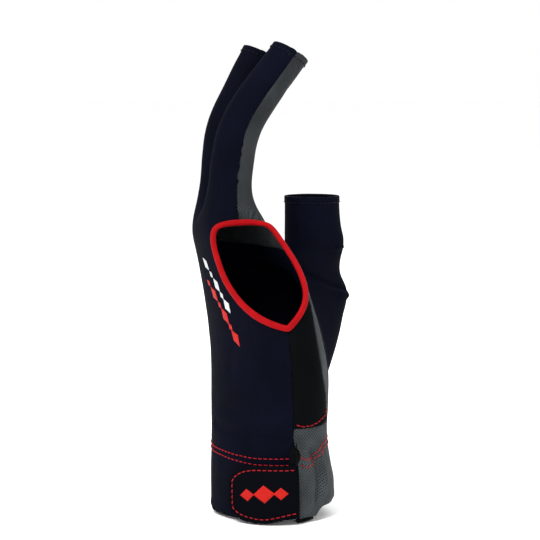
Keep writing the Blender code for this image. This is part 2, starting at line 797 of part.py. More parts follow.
def main():
    clear_scene()
    form = smooth_form()
    for name in PANELS:
        make_panel(form, name)
    make_binding(form)
    make_hem_tape(form)
    form.free()
    make_tab()
    make_slit_tape()


main()
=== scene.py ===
from math import atan2, cos, pi, radians, sin, sqrt

import bmesh
import bpy
import numpy as np
from mathutils import Matrix, Vector, noise
from mathutils.bvhtree import BVHTree
from mathutils.kdtree import KDTree


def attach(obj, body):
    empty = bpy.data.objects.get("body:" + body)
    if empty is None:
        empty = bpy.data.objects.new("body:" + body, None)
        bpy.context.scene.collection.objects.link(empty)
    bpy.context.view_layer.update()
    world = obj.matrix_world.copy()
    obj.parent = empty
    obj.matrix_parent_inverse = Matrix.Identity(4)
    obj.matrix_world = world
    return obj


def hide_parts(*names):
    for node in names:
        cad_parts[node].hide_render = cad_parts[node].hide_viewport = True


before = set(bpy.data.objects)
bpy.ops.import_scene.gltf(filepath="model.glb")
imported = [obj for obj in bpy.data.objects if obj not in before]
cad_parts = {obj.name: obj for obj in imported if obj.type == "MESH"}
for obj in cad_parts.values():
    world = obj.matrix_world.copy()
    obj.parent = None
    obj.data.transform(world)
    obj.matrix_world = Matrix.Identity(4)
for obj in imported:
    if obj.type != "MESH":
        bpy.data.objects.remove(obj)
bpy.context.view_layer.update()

MM = 0.001

# The photograph's camera: azimuth and elevation in degrees, distance and target in metres
CAMERA_AZIMUTH = -25.0
CAMERA_ELEVATION = 5.8
CAMERA_DISTANCE = 1.0
CAMERA_TARGET = Vector((0.0, 0.0, 0.1016))
CAMERA_LENS = 156.9
SENSOR = 36.0
IMAGE = 540
CLIP_START = 0.01

# The floor's height in millimetres, its radius in metres, and the share of it inside the inset
FLOOR_HEIGHT = -2.3
FLOOR_RADIUS = 6.0
FLOOR_INSET = 0.8
FLOOR_SIDES = 64

# The worn form's sections, in millimetres: height, centre's shift, half thickness, half breadth
HAND_FORM = [
    (0.0, 1.0, 25.0, 30.0), (12.4, 1.2, 25.2, 29.6), (28.5, -0.2, 24.0, 29.3),
    (38.4, -0.2, 24.0, 30.4), (48.4, 0.1, 24.0, 32.8), (59.5, 0.5, 22.8, 35.7),
    (74.4, -1.8, 20.9, 38.0), (86.8, -4.7, 19.2, 39.0), (96.7, -7.7, 17.5, 39.0),
    (109.1, -11.8, 15.6, 38.6), (124.0, -15.0, 13.2, 37.1),
]

# Centre lines of the stalls, in millimetres: height, distance out of the palm
INDEX_LINE = [
    (124.0, -11.5), (142.5, -9.2), (162.3, -7.1), (171.9, -2.0), (182.2, 3.1), (193.0, 9.2),
]
MIDDLE_LINE = [
    (124.0, -15.5), (142.5, -14.2), (162.7, -10.5), (173.0, -3.2), (183.3, 5.0), (193.9, 13.9),
]
INDEX_SIDE, MIDDLE_SIDE = 29.0, 9.2
FINGER_RADIUS = 9.0
THUMB_CENTRE = (26.6, 14.0)
THUMB_RADIUS = 13.0
STALL_FLOOR = 127.0

# The thumb's own cloth lies above this height and further out of the palm than this
THUMB_FLOOR = 99.0
THUMB_SIDE = 13.0

# Mouths of the stalls: centre in millimetres, lean toward the palm in degrees, radius
MOUTHS = {
    "index": ((9.2, 29.0, 193.0), 27.0, 8.6),
    "middle": ((13.9, 9.2, 193.9), 33.0, 8.6),
    "thumb": ((26.5, 14.0, 131.5), 0.0, 12.6),
}
MOUTH_REACH = 1.25

# Rounding of the CAD's cloth: its cut edges turn by more than this angle and keep this sharpness
CUT_EDGE_ANGLE = 50.0
PANEL_SHARPNESS = 0.9
ROUNDING, FINE_ROUNDING = 2, 3
MERGE_DISTANCE = 1e-6

# Stitches, in millimetres: pitch, length, thread, depth of their ends, lift, and their steps as
# shares of the length with rises
STITCH_PITCH = 2.3
STITCH_LENGTH = 1.65
THREAD = 0.46
THREAD_SIDES = 7
STITCH_SUNK = 0.30
STITCH_LIFT = 0.02
STITCH_STEPS = [(0.10, 0.30), (0.24, 0.20), (0.32, 0.05), (0.24, -0.05), (0.10, -0.50)]
HEM_STITCH_PITCH = 1.9
HEM_STITCH_SIZE = 0.8

# Turned hems, in millimetres: where their stitches run, how far the hem stands out and where it
# fades, and its stitches' valley; then the wrist's hem
HEM_BAND = 2.4
HEM_RELIEF = 0.22
HEM_FADE = (2.8, 2.1)
HEM_VALLEY = (0.12, 0.35)
WRIST_HEM_RELIEF = 0.20
WRIST_HEM_FADE = (3.4, 2.8)

# Seams: cut edges this near in millimetres close by this share of their gap and leave a valley.
# The wrist slit, under SLIT_TOP and beyond SLIT_SIDE, stays open.
SEAM_REACH = 0.75
SEAM_SHARE = 0.5
SEAM_VALLEY = (0.38, 0.75)
SLIT_TOP = 30.0
SLIT_SIDE = -20.0

# Cut edges this near the binding go on into it, by this many millimetres
BINDING_REACH = 0.9
BINDING_TUCK = 1.1
BINDING_CORNERS = 24

# Shares of the slit tape's width and the hem tape's length that show. The slit tape narrows by a
# further share between two heights.
SLIT_TAPE_SHOWN = 0.35
SLIT_TAPE_NARROWED = 0.7
SLIT_TAPE_HEIGHTS = (20, 30)
HEM_TAPE_SHOWN = 0.64

# Steps of lines on the cloth: in millimetres, along cuff rows, to a pixel line, and in degrees
LINE_STEP = 0.5
VALLEY_STEPS, ROW_STEPS = 200, 240
PIXEL_STEPS = 10
MOUTH_STEP = 4

# Rays start this far out in metres, and outer faces lean outward at least this much
RAY_START = 0.09
OUTWARD = 0.25

# Valleys under stitch lines: depth and width in millimetres
CUFF_VALLEY = (0.28, 0.75)
PATCH_VALLEY = (0.25, 0.7)
TAB_VALLEY = (0.30, 0.6)

# Unevenness of worn cloth, in millimetres: size and height of its waves, what the cuff adds to
# the first two, and where that starts to fade and over what height
SLOW_WAVE, RIPPLE, CROSS_FOLD = (15, 0.20), (6, 0.05), (9, 0.09)
CUFF_SLOW, CUFF_RIPPLE = 0.22, 0.12
CUFF_NOISE_TOP, CUFF_NOISE_FADE = 30, 22

# Printed marks: first and last pixel, count, and lengths and widths in millimetres
WHITE_MARKS = ((206, 264), (227, 306), 5, [(7.4, 3.8), (4.0, 2.1)])
RED_MARKS = ((209, 283), (236, 338), 6, [(4.2, 2.2), (8.6, 4.0)])
TAB_MARKS = ((247, 495), (281, 494), 3, [(6.4, 5.2), (9.4, 7.6), (6.4, 5.2)])
MARK_CELLS = 8
MARK_LOOK_ON = 0.03
SQUARE_TO_DIAMOND = 0.7071
PRINT_DROP, PRINT_LIFT, PRINT_FILM = 4.0, 0.12, 0.2

# The fold at the top of the slit, in millimetres: half sizes, how far it stands out, its pleats,
# their unevenness and its sway
FOLD_HALF_SIZES = (1.5, 2.3, 5.4)
FOLD_LIFT = 0.6
FOLD_PLEATS, FOLD_NOISE, FOLD_SWAY = 0.30, 0.35, 0.5

# Cut ends of thread, in millimetres: radius, steps across and up, taper; and how a tuft spreads
END_RADIUS = 0.14
END_STEPS = [(0.05, 0.5), (0.15, 0.5), (0.3, 0.45), (0.4, 0.2)]
END_TAPER = 0.92
TUFT_TURNS = (-0.9, -0.4, 0.1, 0.5, 1.0)
TUFT_SPREAD = Vector((0.45, 0.2, 0.15))
TUFT_WIDTH, TUFT_LIFT, TUFT_SIZE = 0.5, 0.1, 1.2

# Soft lights: name, place and size in metres, power in watts; and the place that they face
SOFTBOXES = [
    ("key_softbox", (-0.7, -0.5, 1.0), 0.5, 16.0),
    ("fill_softbox", (0.85, -0.75, 0.35), 0.9, 2.0),
    ("top_softbox", (0.1, 0.1, 1.3), 1.0, 5.0),
    ("rear_softbox", (0.5, 0.8, 0.7), 0.7, 4.0),
]
LIT_PLACE = Vector((0.0, 0.0, 0.1))


def linear(colour):
    """An sRGB hex colour as linear red, green, blue and full alpha."""
    parts = [int(colour[i:i + 2], 16) / 255 for i in (1, 3, 5)]
    return (*[p / 12.92 if p <= 0.04045 else ((p + 0.055) / 1.055) ** 2.4 for p in parts], 1.0)


def add_node(tree, kind, settings=None, inputs=None):
    """A shader node with its settings, its input values and its links."""
    node = tree.nodes.new("ShaderNode" + kind)
    for name, value in (settings or {}).items():
        setattr(node, name, value)
    for key, value in (inputs or {}).items():
        if isinstance(value, bpy.types.NodeSocket):
            tree.links.new(value, node.inputs[key])
        else:
            node.inputs[key].default_value = value
    return node


def new_material(name, constants):
    """A material with its shader's constant sockets set."""
    material = bpy.data.materials.new(name)
    material.use_nodes = True
    shader = material.node_tree.nodes["Principled BSDF"]
    for socket, value in constants.items():
        shader.inputs[socket].default_value = value
    return material, material.node_tree, shader


def cloth_measures(tree):
    """The cloth's own measure in metres, across its wales and along them."""
    cut = add_node(tree, "UVMap", {"uv_map": "cloth"})
    parts = add_node(tree, "SeparateXYZ", inputs={"Vector": cut.outputs["UV"]})
    return parts.outputs["X"], parts.outputs["Y"]


def object_axes(tree):
    """The place on the piece in metres, along X, Y and Z."""
    place = add_node(tree, "TexCoord").outputs["Object"]
    return add_node(tree, "SeparateXYZ", inputs={"Vector": place}).outputs


def maths(tree, operation, *values):
    """The result of an operation on numbers and links."""
    return add_node(tree, "Math", {"operation": operation}, dict(enumerate(values))).outputs[0]


def wave(tree, along, pitch):
    """A wave of this pitch in millimetres."""
    return maths(tree, "COSINE", maths(tree, "MULTIPLY", along, 2 * pi / (pitch * MM)))


def sum_of(tree, first, second, share):
    """The first value plus a share of the second."""
    return maths(tree, "MULTIPLY_ADD", second, share, first)


def cloud(tree, size, detail):
    """Soft variation over the piece, with patches of about this size in millimetres."""
    place = add_node(tree, "TexCoord").outputs["Object"]
    texture = add_node(tree, "TexNoise", inputs={
        "Vector": place, "Scale": 1.0 / (size * MM), "Detail": detail, "Roughness": 0.55})
    return texture.outputs["Fac"]


def ramp(tree, mask, low, high, start=0.0, end=1.0):
    """A colour from low to high while a mask goes from start to end."""
    blend = add_node(tree, "ValToRGB", inputs={"Fac": mask})
    for stop, colour, position in zip(blend.color_ramp.elements, (low, high), (start, end)):
        stop.color = linear(colour)
        stop.position = position
    return blend.outputs["Color"]


def colour_between(tree, shader, mask, low, high):
    """The shader's colour from low to high by a mask from 0 to 1."""
    tree.links.new(ramp(tree, mask, low, high), shader.inputs["Base Color"])


def raised(tree, shader, height, strength, depth):
    """Relief on the shader from a height, depth in millimetres."""
    bump = add_node(tree, "Bump", inputs={
        "Strength": strength, "Distance": depth * MM, "Height": height})
    tree.links.new(bump.outputs["Normal"], shader.inputs["Normal"])


def varied_roughness(tree, shader, mask, low, high):
    """Roughness that drifts over the piece."""
    spread = add_node(tree, "MapRange", inputs={"Value": mask, "To Min": low, "To Max": high})
    tree.links.new(spread.outputs["Result"], shader.inputs["Roughness"])


def elastane_knit(name, dark, light, sheen):
    """Knitted nylon with elastane: matte and nearly black, with a faint bloom where it turns away.
    Its wales are 0.3 mm apart, drawn at 0.8 mm so that they show."""
    material, tree, shader = new_material(name, {
        "Specular IOR Level": 0.015, "Sheen Weight": sheen, "Sheen Roughness": 0.3,
        "Sheen Tint": linear("#4A5270")})
    across, along = cloth_measures(tree)
    wales = wave(tree, across, pitch=0.8)
    loops = wave(tree, sum_of(tree, along, across, 0.5), pitch=0.7)
    knit = sum_of(tree, wales, loops, 0.6)
    drift = cloud(tree, size=22, detail=4.0)
    fuzz = cloud(tree, size=0.9, detail=2.0)
    tone = sum_of(tree, drift, sum_of(tree, fuzz, knit, 0.05), 0.5)
    level = add_node(tree, "MapRange", inputs={"Value": tone, "From Min": 0.35, "From Max": 1.15})
    colour_between(tree, shader, level.outputs["Result"], dark, light)
    varied_roughness(tree, shader, drift, 0.66, 0.84)
    raised(tree, shader, sum_of(tree, fuzz, knit, 0.4), strength=0.2, depth=0.10)
    return material


def eyelet_mesh(name, yarn, eyelet_shade):
    """Warp-knitted polyester mesh: grey yarn round staggered diamond eyelets, whose dark fill is
    painted shade of the inside seen through them. Eyelets are 0.9 mm apart, drawn larger so that
    they show."""
    material, tree, shader = new_material(name, {
        "Specular IOR Level": 0.10, "Sheen Weight": 0.02, "Sheen Roughness": 0.5,
        "Sheen Tint": linear("#A9B0B2")})
    across, along = cloth_measures(tree)
    rows = wave(tree, across, pitch=1.4)
    ranks = wave(tree, along, pitch=1.25)
    lattice = maths(tree, "MULTIPLY", rows, ranks)
    yarns = wave(tree, across, pitch=0.42)
    drift = cloud(tree, size=14, detail=4.0)
    eyelet = add_node(tree, "MapRange", {"interpolation_type": "SMOOTHSTEP"},
                      {"Value": lattice, "From Min": 0.12, "From Max": 0.62})
    strand = ramp(tree, sum_of(tree, drift, yarns, 0.10), *yarn, 0.3, 0.72)
    # The eyelets take a flat dark colour: painted shade of the inside seen through them.
    mixed = add_node(tree, "Mix", {"data_type": "RGBA"}, {
        "Factor": eyelet.outputs["Result"], "A": strand, "B": linear(eyelet_shade)})
    tree.links.new(mixed.outputs["Result"], shader.inputs["Base Color"])
    varied_roughness(tree, shader, drift, 0.62, 0.80)
    drop = maths(tree, "MULTIPLY", eyelet.outputs["Result"], -2.4)
    raised(tree, shader, sum_of(tree, drop, yarns, 0.35), strength=0.65, depth=0.16)
    return material


def brushed_patch(name, dark, light):
    """Brushed microfibre at the heel of the hand: soft black with a short nap that breaks up
    the light in small cloudy strokes."""
    material, tree, shader = new_material(name, {
        "Specular IOR Level": 0.015, "Sheen Weight": 0.004, "Sheen Roughness": 0.3,
        "Sheen Tint": linear("#50585C")})
    nap = cloud(tree, size=0.7, detail=3.0)
    drift = cloud(tree, size=12, detail=5.0)
    colour_between(tree, shader, sum_of(tree, drift, nap, 0.25), dark, light)
    varied_roughness(tree, shader, drift, 0.74, 0.9)
    raised(tree, shader, nap, strength=0.35, depth=0.12)
    return material


def woven_tape(name, dark, light, specular, rib):
    """Woven polyester tape: fine ribs across it catch the light. The rib is in millimetres."""
    material, tree, shader = new_material(name, {
        "Specular IOR Level": specular, "Sheen Weight": 0.02, "Sheen Roughness": 0.4})
    axes = object_axes(tree)
    ribs = wave(tree, sum_of(tree, axes["Z"], axes["X"], 0.55), rib)
    picks = wave(tree, sum_of(tree, axes["Y"], axes["X"], -0.8), rib * 0.8)
    weave = sum_of(tree, ribs, picks, 0.5)
    drift = cloud(tree, size=5, detail=4.0)
    colour_between(tree, shader, sum_of(tree, drift, weave, 0.09), dark, light)
    varied_roughness(tree, shader, drift, 0.5, 0.72)
    raised(tree, shader, weave, strength=0.3, depth=0.08)
    return material


def spun_thread(name, dark, light):
    """Polyester sewing thread: two plies twisted together, slightly glossy."""
    material, tree, shader = new_material(name, {"Specular IOR Level": 0.08, "Sheen Weight": 0.01})
    axes = object_axes(tree)
    slope = sum_of(tree, axes["Z"], axes["Y"], 0.7)
    plies = wave(tree, sum_of(tree, slope, axes["X"], 0.7), pitch=0.35)
    fibre = cloud(tree, size=0.5, detail=2.0)
    colour_between(tree, shader, sum_of(tree, fibre, plies, 0.15), dark, light)
    varied_roughness(tree, shader, fibre, 0.45, 0.62)
    raised(tree, shader, plies, strength=0.4, depth=0.06)
    return material


def rubber_print(name, dark, light):
    """Screen-printed rubber ink: a smooth thin film that follows the knit and is a little worn."""
    material, tree, shader = new_material(name, {"Specular IOR Level": 0.1})
    wear = cloud(tree, size=1.1, detail=4.0)
    colour_between(tree, shader, wear, dark, light)
    varied_roughness(tree, shader, wear, 0.38, 0.6)
    raised(tree, shader, wear, strength=0.25, depth=0.05)
    return material


def hook_pile(name):
    """Moulded nylon hooks on a woven ground: black, coarse and slightly shiny."""
    material, tree, shader = new_material(name, {"Specular IOR Level": 0.2})
    place = add_node(tree, "TexCoord").outputs["Object"]
    spacing = 1.1 * MM
    cells = add_node(tree, "TexVoronoi", inputs={"Vector": place, "Scale": 1.0 / spacing})
    colour_between(tree, shader, cells.outputs["Distance"], "#1C1D22", "#07080A")
    varied_roughness(tree, shader, cells.outputs["Distance"], 0.4, 0.7)
    raised(tree, shader, cells.outputs["Distance"], strength=0.8, depth=0.4)
    return material


def studio_paper(name):
    """Matte white background paper, with the faint tooth of its pulp."""
    material, tree, shader = new_material(name, {"Specular IOR Level": 0.1})
    tooth = cloud(tree, size=30, detail=3.0)
    colour_between(tree, shader, tooth, "#FDFDFD", "#FFFFFF")
    varied_roughness(tree, shader, tooth, 0.85, 0.95)
    raised(tree, shader, tooth, strength=0.05, depth=0.1)
    return material


NAVY = elastane_knit("navy_elastane_knit", "#030409", "#090B18", 0.002)
TAB_CLOTH = elastane_knit("tab_laminated_knit", "#030407", "#06070C", 0.002)
WRIST_MESH = eyelet_mesh("grey_eyelet_mesh", ("#2A2E30", "#424749"), "#0B0C0E")
# The fingers' mesh is the grey eyelet mesh with darker yarn and eyelets: painted shade, not a
# different cloth.
SHADED_FINGER_MESH = eyelet_mesh("painted_shade_finger_mesh", ("#202325", "#35393B"), "#08090A")
HEEL_BLACK = brushed_patch("black_brushed_microfibre", "#030405", "#07090A")
BINDING_RED = woven_tape("red_binding_tape", "#74050A", "#9C0A10", 0.03, 0.55)
BLACK_TAPE = woven_tape("black_woven_tape", "#020304", "#060708", 0.02, 0.6)
RED_THREAD = spun_thread("red_polyester_thread", "#7A0F17", "#9C1A22")
NAVY_THREAD = spun_thread("navy_polyester_thread", "#030408", "#0A0C18")
RED_PRINT = rubber_print("red_rubber_print", "#960F0B", "#AE1A13")
WHITE_PRINT = rubber_print("white_rubber_print", "#A4A6A6", "#C4C5C4")
HOOKS = hook_pile("black_nylon_hooks")


def only(piece):
    """Leave this piece alone selected and active."""
    if bpy.context.object and bpy.context.object.mode != "OBJECT":
        bpy.ops.object.mode_set(mode="OBJECT")
    bpy.ops.object.select_all(action="DESELECT")
    piece.select_set(True)
    bpy.context.view_layer.objects.active = piece


def add_object(name, data):
    piece = bpy.data.objects.new(name, data)
    bpy.context.scene.collection.objects.link(piece)
    return piece


def edit_all():
    """Edit the active piece with all of it selected."""
    bpy.ops.object.mode_set(mode="EDIT")
    bpy.ops.mesh.select_all(action="SELECT")


def apply_subdivision(piece, levels):
    only(piece)
    rounding = piece.modifiers.new("rounding", "SUBSURF")
    rounding.levels = levels
    rounding.render_levels = levels
    bpy.ops.object.modifier_apply(modifier=rounding.name)


def merged_copy(node, name):
    """A copy of a CAD node, its loose triangles merged and paired into quads."""
    piece = add_object(name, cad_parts[node].data.copy())
    only(piece)
    edit_all()
    bpy.ops.mesh.remove_doubles(threshold=MERGE_DISTANCE)
    bpy.ops.mesh.tris_convert_to_quads(face_threshold=radians(45), shape_threshold=radians(60))
    bpy.ops.object.mode_set(mode="OBJECT")
    if piece.data.has_custom_normals:
        bpy.ops.mesh.customdata_custom_splitnormals_clear()
    piece.data.materials.clear()
    return piece


def crease_edges(piece, sharpness):
    """Hold the cut edges of the cloth while it is rounded."""
    mesh = bmesh.new()
    mesh.from_mesh(piece.data)
    layers = mesh.edges.layers.float
    crease = layers.get("crease_edge") or layers.new("crease_edge")
    for edge in mesh.edges:
        if len(edge.link_faces) == 2 and edge.calc_face_angle() > radians(CUT_EDGE_ANGLE):
            edge[crease] = sharpness
    mesh.to_mesh(piece.data)
    mesh.free()


def nearest_tree(places):
    """A tree that finds the nearest of these places."""
    tree = KDTree(len(places))
    for number, place in enumerate(places):
        tree.insert(place, number)
    tree.balance()
    return tree


def close_seams(cloths):
    """Draw the cut edges of neighbouring panels together, as sewing does, but for the wrist slit.
    Returns places at small steps along the seams."""
    rims = {}
    for node, piece in cloths.items():
        mesh = bmesh.new()
        mesh.from_mesh(piece.data)
        rims[node] = sorted({
            vertex.index for edge in mesh.edges
            if edge.calc_face_angle(0) > radians(CUT_EDGE_ANGLE)
            for vertex in edge.verts
        })
        mesh.free()
    moves = {}
    for node, piece in cloths.items():
        tree = nearest_tree([
            cloths[other].data.vertices[index].co
            for other in cloths if other != node for index in rims[other]
        ])
        moves[node] = []
        for index in rims[node]:
            place = piece.data.vertices[index].co
            near, _, gap = tree.find(place)
            at_slit = place.z < SLIT_TOP * MM and place.y < SLIT_SIDE * MM
            if gap < SEAM_REACH * MM and not at_slit:
                moves[node].append((index, (near - place) * SEAM_SHARE))
    seams = []
    for node, piece in cloths.items():
        corners = piece.data.vertices
        for index, move in moves[node]:
            corners[index].co += move
        sewn = {index for index, _ in moves[node]}
        for edge in piece.data.edges:
            first, second = edge.vertices
            if first in sewn and second in sewn:
                span = corners[second].co - corners[first].co
                steps = max(int(span.length / (LINE_STEP * MM)), 1)
                seams += [corners[first].co + span * (step / steps) for step in range(steps)]
    return np.array(seams)


def tuck_into_binding(cloths):
    """Run the panels' cut edges at the opening into the binding that wraps them."""
    wrap = merged_copy("opening_binding", "wrap")
    tree = nearest_tree([vertex.co for vertex in wrap.data.vertices])
    for piece in cloths.values():
        for vertex in piece.data.vertices:
            if tree.find(vertex.co)[2] < BINDING_REACH * MM:
                near = [spot for spot, _, _ in tree.find_n(vertex.co, BINDING_CORNERS)]
                heart = sum(near, Vector()) / len(near)
                vertex.co += (heart - vertex.co).normalized() * BINDING_TUCK * MM
    bpy.data.objects.remove(wrap)


def corner_places(piece):
    places = np.empty(len(piece.data.vertices) * 3)
    piece.data.vertices.foreach_get("co", places)
    return places.reshape(-1, 3)


def set_corner_places(piece, places):
    piece.data.vertices.foreach_set("co", np.ascontiguousarray(places).ravel())
    piece.data.update()


def read_table(table, at, column=1):
    """A column of a table, read between its rows."""
    rows = np.array(table)
    return np.interp(at, rows[:, 0], rows[:, column])


def form_at(height):
    """Shift, half thickness and half breadth of the hand's section at a height in metres."""
    return [read_table(HAND_FORM, height / MM, column) * MM for column in (1, 2, 3)]


def domain_of(node, place):
    """The centre that the cloth wraps round at a place, and the half sizes of its section."""
    if node in ("back_panel", "finger_mesh") and place.z > STALL_FLOOR * MM:
        line, side = MIDDLE_LINE, MIDDLE_SIDE
        if place.y > (INDEX_SIDE + MIDDLE_SIDE) / 2 * MM:
            line, side = INDEX_LINE, INDEX_SIDE
        centre = Vector((read_table(line, place.z / MM) * MM, side * MM, place.z))
        return centre, FINGER_RADIUS * MM, FINGER_RADIUS * MM
    if node == "thumb_panel" and place.z > THUMB_FLOOR * MM and place.x > THUMB_SIDE * MM:
        centre = Vector((THUMB_CENTRE[0] * MM, THUMB_CENTRE[1] * MM, place.z))
        return centre, THUMB_RADIUS * MM, THUMB_RADIUS * MM
    shift, half_thickness, half_breadth = form_at(place.z)
    return Vector((shift, 0.0, place.z)), half_thickness, half_breadth


ELLIPSE_TURNS = np.linspace(-2 * pi, 4 * pi, 1081)
ellipse_runs = {}


def ellipse_run(half_thickness, half_breadth, turn):
    """The way round an ellipse from angle 0 to turn, in metres."""
    key = (round(float(half_thickness) / MM, 1), round(float(half_breadth) / MM, 1))
    if key not in ellipse_runs:
        speed = np.hypot(key[0] * np.sin(ELLIPSE_TURNS), key[1] * np.cos(ELLIPSE_TURNS))
        steps = (speed[1:] + speed[:-1]) / 2 * np.diff(ELLIPSE_TURNS)
        run = np.concatenate([[0.0], np.cumsum(steps)])
        ellipse_runs[key] = (run - np.interp(0.0, ELLIPSE_TURNS, run)) * MM
    return float(np.interp(turn, ELLIPSE_TURNS, ellipse_runs[key]))


def lay_out_cloth(piece, node):
    """The cloth's measure as a UV map in metres, wrapped round the hand, a finger or the thumb."""
    layer = piece.data.uv_layers.get("cloth") or piece.data.uv_layers.new(name="cloth")
    vertices = piece.data.vertices
    for face in piece.data.polygons:
        centre, half_thickness, half_breadth = domain_of(node, face.center)
        middle = atan2((face.center.y - centre.y) / half_breadth,
                       (face.center.x - centre.x) / half_thickness)
        for loop in face.loop_indices:
            place = vertices[piece.data.loops[loop].vertex_index].co
            turn = atan2((place.y - centre.y) / half_breadth,
                         (place.x - centre.x) / half_thickness)
            turn += 2 * pi * round((middle - turn) / (2 * pi))
            layer.data[loop].uv = (ellipse_run(half_thickness, half_breadth, turn), place.z)


def looks_out(piece, face):
    """Whether a panel's face looks away from the hand."""
    way = face.center - domain_of(piece.name.removesuffix("_cloth"), face.center)[0]
    return way.normalized().dot(face.normal) > OUTWARD


def surface_of(pieces, outer=False):
    """A tree for rays and nearest places over pieces, or over the outer faces of panels alone."""
    corners, faces = [], []
    for piece in pieces:
        start = len(corners)
        corners.extend(vertex.co.copy() for vertex in piece.data.vertices)
        for face in piece.data.polygons:
            if not outer or looks_out(piece, face):
                faces.append([start + index for index in face.vertices])
    return BVHTree.FromPolygons(corners, faces)


def camera_axes():
    turn, lift = radians(CAMERA_AZIMUTH), radians(CAMERA_ELEVATION)
    back = Vector((sin(turn) * cos(lift), -cos(turn) * cos(lift), sin(lift)))
    right = Vector((0.0, 0.0, 1.0)).cross(back).normalized()
    return back, right, back.cross(right)


def first_hit(surface, start, ray):
    """The place and normal where a ray meets a surface, or None."""
    place, normal, _, _ = surface.ray_cast(start, ray.normalized())
    return (place, normal) if place else None


def under_pixel(surface, x, y):
    """The place and normal of the cloth that shows at a pixel of the photograph."""
    back, right, up = camera_axes()
    focal = IMAGE * CAMERA_LENS / SENSOR
    ray = -back + right * ((x - IMAGE / 2) / focal) + up * ((IMAGE / 2 - y) / focal)
    return first_hit(surface, CAMERA_TARGET + back * CAMERA_DISTANCE, ray)


def on_hand(surface, angle, height):
    """The place and normal of the outer cloth at an angle and height in millimetres."""
    shift, half_thickness, half_breadth = form_at(height * MM)
    ray = Vector((half_thickness * cos(radians(angle)), half_breadth * sin(radians(angle)), 0.0))
    centre = Vector((shift, 0.0, height * MM))
    return first_hit(surface, centre + ray.normalized() * RAY_START, -ray)


def on_mouth(surface, mouth, angle, below):
    """The place and normal of a stall's outer cloth, below millimetres under its mouth."""
    middle, lean, radius = MOUTHS[mouth]
    palmward = Vector((cos(radians(lean)), 0.0, -sin(radians(lean))))
    upward = Vector((sin(radians(lean)), 0.0, cos(radians(lean))))
    ray = palmward * cos(radians(angle)) + Vector((0.0, 1.0, 0.0)) * sin(radians(angle))
    centre = Vector(middle) * MM - upward * below * MM
    return first_hit(surface, centre + ray * radius * MOUTH_REACH * MM, -ray)


def even_steps(hits, pitch):
    """Places, normals and directions at even steps along a line of hits."""
    hits = [hit for hit in hits if hit]
    if len(hits) < 2:
        return []
    places = np.array([hit[0] for hit in hits])
    normals = np.array([hit[1] for hit in hits])

    def read(values, at):
        return Vector([np.interp(at, run, values[:, axis]) for axis in range(3)])

    gaps = np.linalg.norm(np.diff(places, axis=0), axis=1)
    run = np.concatenate([[0.0], np.cumsum(gaps)])
    count = max(int(run[-1] / pitch), 1)
    steps = (np.arange(count) + 0.5) * run[-1] / count
    result = []
    for step in steps:
        along = read(places, step + pitch / 3) - read(places, step - pitch / 3)
        result.append((read(places, step), read(normals, step).normalized(), along.normalized()))
    return result


def dense_line(hits):
    """A line of hits as an array of places at small steps."""
    steps = even_steps(hits, LINE_STEP * MM)
    return np.array([step[0] for step in steps]).reshape(-1, 3)


def smooth_share(value, low, high):
    share = np.clip((value - low) / (high - low), 0.0, 1.0)
    return share * share * (3 - 2 * share)


# Rows of red stitching: places as angles round the hand and heights in millimetres
CUFF_ROWS = {
    "cuff_stitches_upper": [(271.5, 25.9), (274.5, 24.7), (281.5, 24.2), (287, 24.9), (294, 27.3),
                            (302, 29.6), (310.5, 30.9), (330, 31.4), (400, 30.4), (460, 29.0),
                            (520, 26.9), (547, 26.6), (567, 25.8), (584, 25.2), (620, 25.3)],
    "cuff_stitches_lower": [(271.5, 22.5), (275, 21.5), (278, 21.1), (283.5, 21.9), (289.5, 23.7),
                            (297, 26.2), (306.5, 28.1), (313, 28.5), (330, 28.8), (400, 27.4),
                            (460, 26.4), (520, 24.9), (547, 24.4), (567, 23.4), (584, 22.6),
                            (620, 22.5)],
}

# Places on the photograph, in its pixels, and the line of the patch's stitches
SLIT_FOLD_PIXEL = (293.5, 459)
SLIT_END_PIXEL = (298, 518)
SEAM_NOTCH_PIXEL = (288.5, 55.5)
PATCH_ROW = [(296, 425), (303, 426.5), (311, 425.5), (318, 422), (324, 416), (327, 408)]

# Creases of the worn cloth: depth and width in millimetres, and their line in the photograph's
# pixels; a negative depth is a ridge
CREASES = {
    "thumb_crease": (1.5, 1.25, [
        (302, 269), (308, 273), (315, 278), (322, 281), (330, 284), (338, 287), (344, 290)]),
    "thumb_roll": (-0.8, 1.9, [(318, 284), (326, 288), (334, 291), (341, 294), (345, 296)]),
    "thumb_bulge": (-1.3, 2.2, [(341, 292), (345, 294)]),
    "thumb_pinch": (0.8, 1.8, [(326, 251), (334, 252), (341, 252)]),
    "thumb_nip": (-1.2, 1.3, [(338, 246), (342, 247)]),
    "opening_pull": (0.35, 2.6, [(240, 322), (234, 346), (230, 372)]),
    "heel_pull": (0.35, 2.6, [(276, 340), (270, 362), (262, 390)]),
    "wrist_fold": (0.7, 2.0, [(216, 424), (236, 434), (258, 440), (284, 442)]),
    "wrist_dimple": (0.4, 2.4, [(214, 400), (228, 408), (244, 412)]),
    "mesh_valley": (1.8, 1.6, [(313, 452), (318, 468), (319, 484), (318, 500)]),
    "mesh_ridge": (-1.4, 1.5, [(319, 452), (323, 470), (324, 485), (323, 500)]),
    "mesh_roll": (-0.8, 2.2, [(310, 466), (313, 480), (312, 500)]),
    "mesh_corner": (0.6, 1.4, [(299, 440), (302, 452), (303, 466)]),
}


def spline_hits(surface, rows, count):
    """Hits along a table of angles and heights, read in even steps."""
    angles = np.linspace(rows[0][0], rows[-1][0], count)
    angles = np.sort(np.concatenate([angles, [angle for angle, _ in rows[1:-1]]]))
    return [on_hand(surface, angle, read_table(rows, angle)) for angle in angles]


